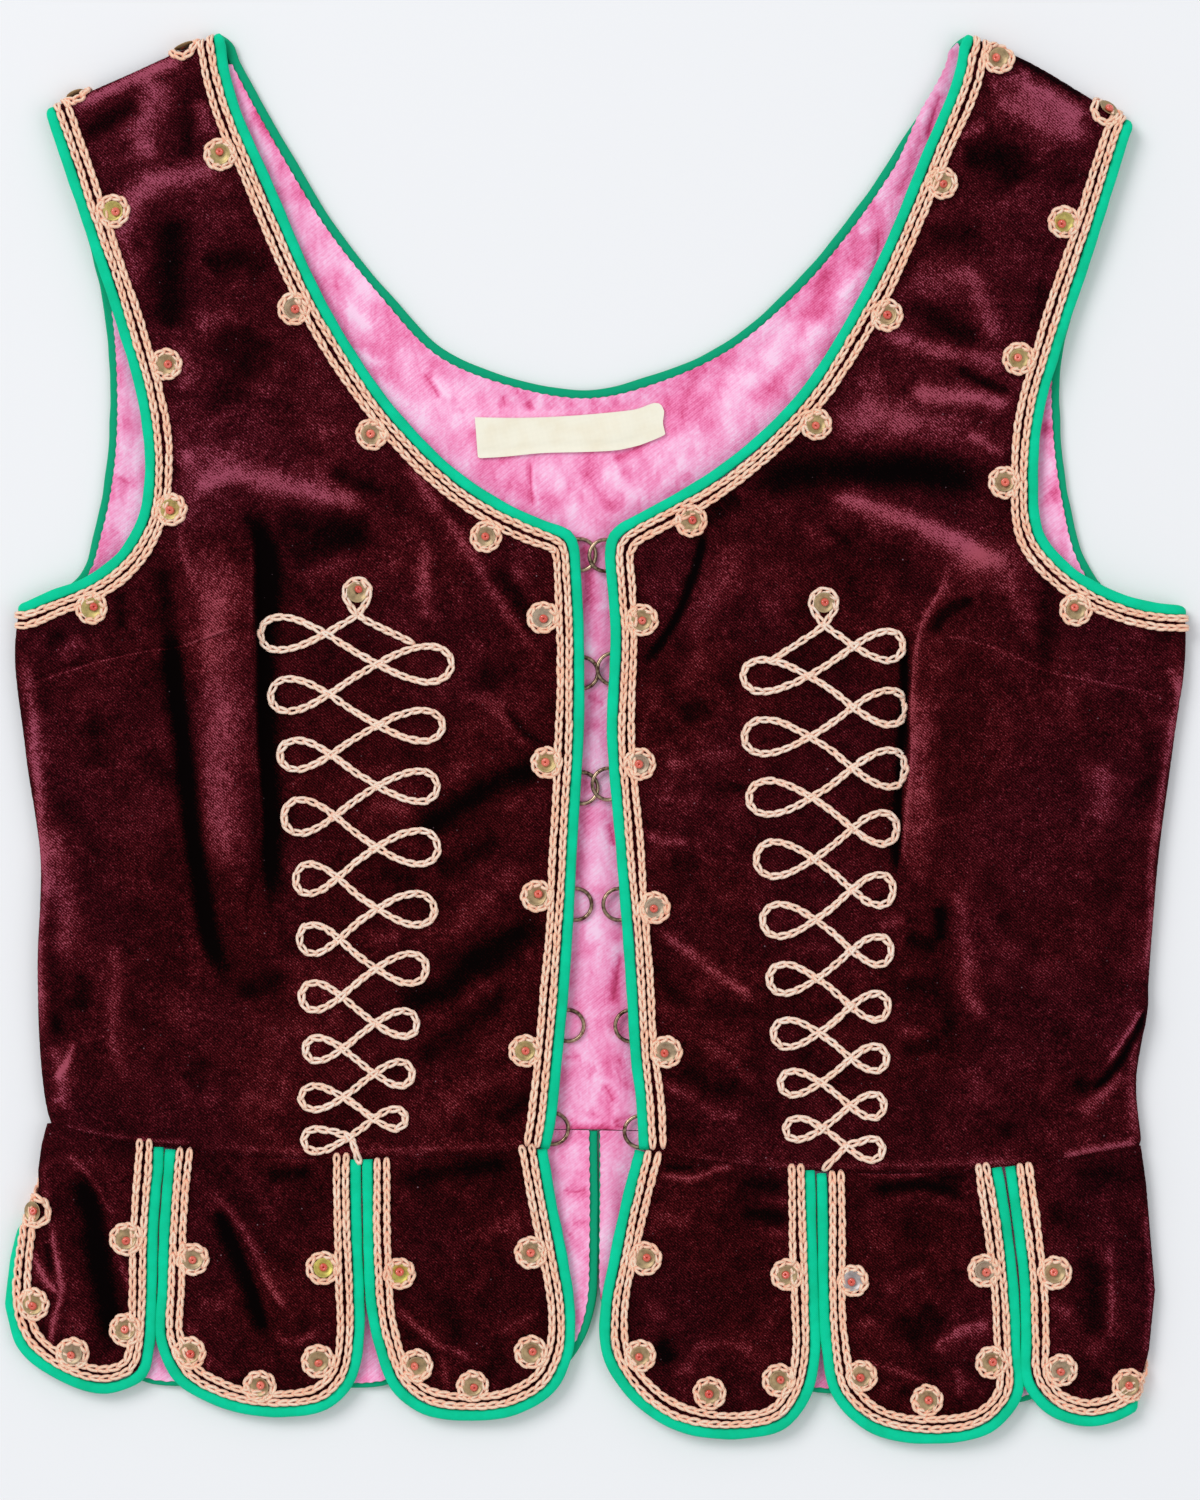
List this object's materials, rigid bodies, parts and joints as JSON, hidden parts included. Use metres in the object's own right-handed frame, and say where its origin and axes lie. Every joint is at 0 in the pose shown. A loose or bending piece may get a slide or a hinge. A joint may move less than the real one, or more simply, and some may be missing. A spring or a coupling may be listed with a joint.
{
  "type": "embroidered folk vest",
  "caption": "Sleeveless lined velvet folk dress bodice laid flat, with scalloped waist tabs, bound edges, rosette embroidery and a row of lacing rings on each front.",
  "frame": {"origin": "middle of the garment's outline, on the surface it lies on", "axes": "+X to the right as seen, which is the wearer's left; +Y up to the shoulders; +Z out of the front"},
  "size_m": [0.4227, 0.5066, 0.0114],
  "materials": {
    "velvet": "burgundy cotton velvet, short nap",
    "satin": "pink satin lining",
    "binding": "green bias binding",
    "brass": "dulled brass",
    "label": "plain woven label",
    "thread": "peach embroidery thread in chain stitch",
    "sequin": "cupped sequins of dulled gold",
    "bead": "coral red seed beads"
  },
  "bodies": {
    "root": {"back_panel": "velvet", "front_left": "velvet", "front_right": "velvet", "tab_side_left": "velvet", "tab_left_outer": "velvet", "tab_left_inner": "velvet", "tab_right_inner": "velvet", "tab_right_outer": "velvet", "tab_side_right": "velvet", "tab_back_1": "velvet", "tab_back_2": "velvet", "tab_back_3": "velvet", "tab_back_4": "velvet", "tab_back_5": "velvet", "tab_back_6": "velvet", "back_lining": "satin", "lining_tab_back_1": "satin", "lining_tab_back_2": "satin", "lining_tab_back_3": "satin", "lining_tab_back_4": "satin", "lining_tab_back_5": "satin", "lining_tab_back_6": "satin", "binding_neck": "binding", "binding_armhole_left": "binding", "binding_armhole_right": "binding", "binding_tab_side_left": "binding", "binding_tab_left_outer": "binding", "binding_tab_left_inner": "binding", "binding_tab_right_inner": "binding", "binding_tab_right_outer": "binding", "binding_tab_side_right": "binding", "binding_tab_back_1": "binding", "binding_tab_back_2": "binding", "binding_tab_back_3": "binding", "binding_tab_back_4": "binding", "binding_tab_back_5": "binding", "binding_tab_back_6": "binding", "ring_left_1": "brass", "ring_left_2": "brass", "ring_left_3": "brass", "ring_left_4": "brass", "ring_left_5": "brass", "ring_left_6": "brass", "ring_right_1": "brass", "ring_right_2": "brass", "ring_right_3": "brass", "ring_right_4": "brass", "ring_right_5": "brass", "ring_right_6": "brass", "label": "label"}
  },
  "joints": []
}
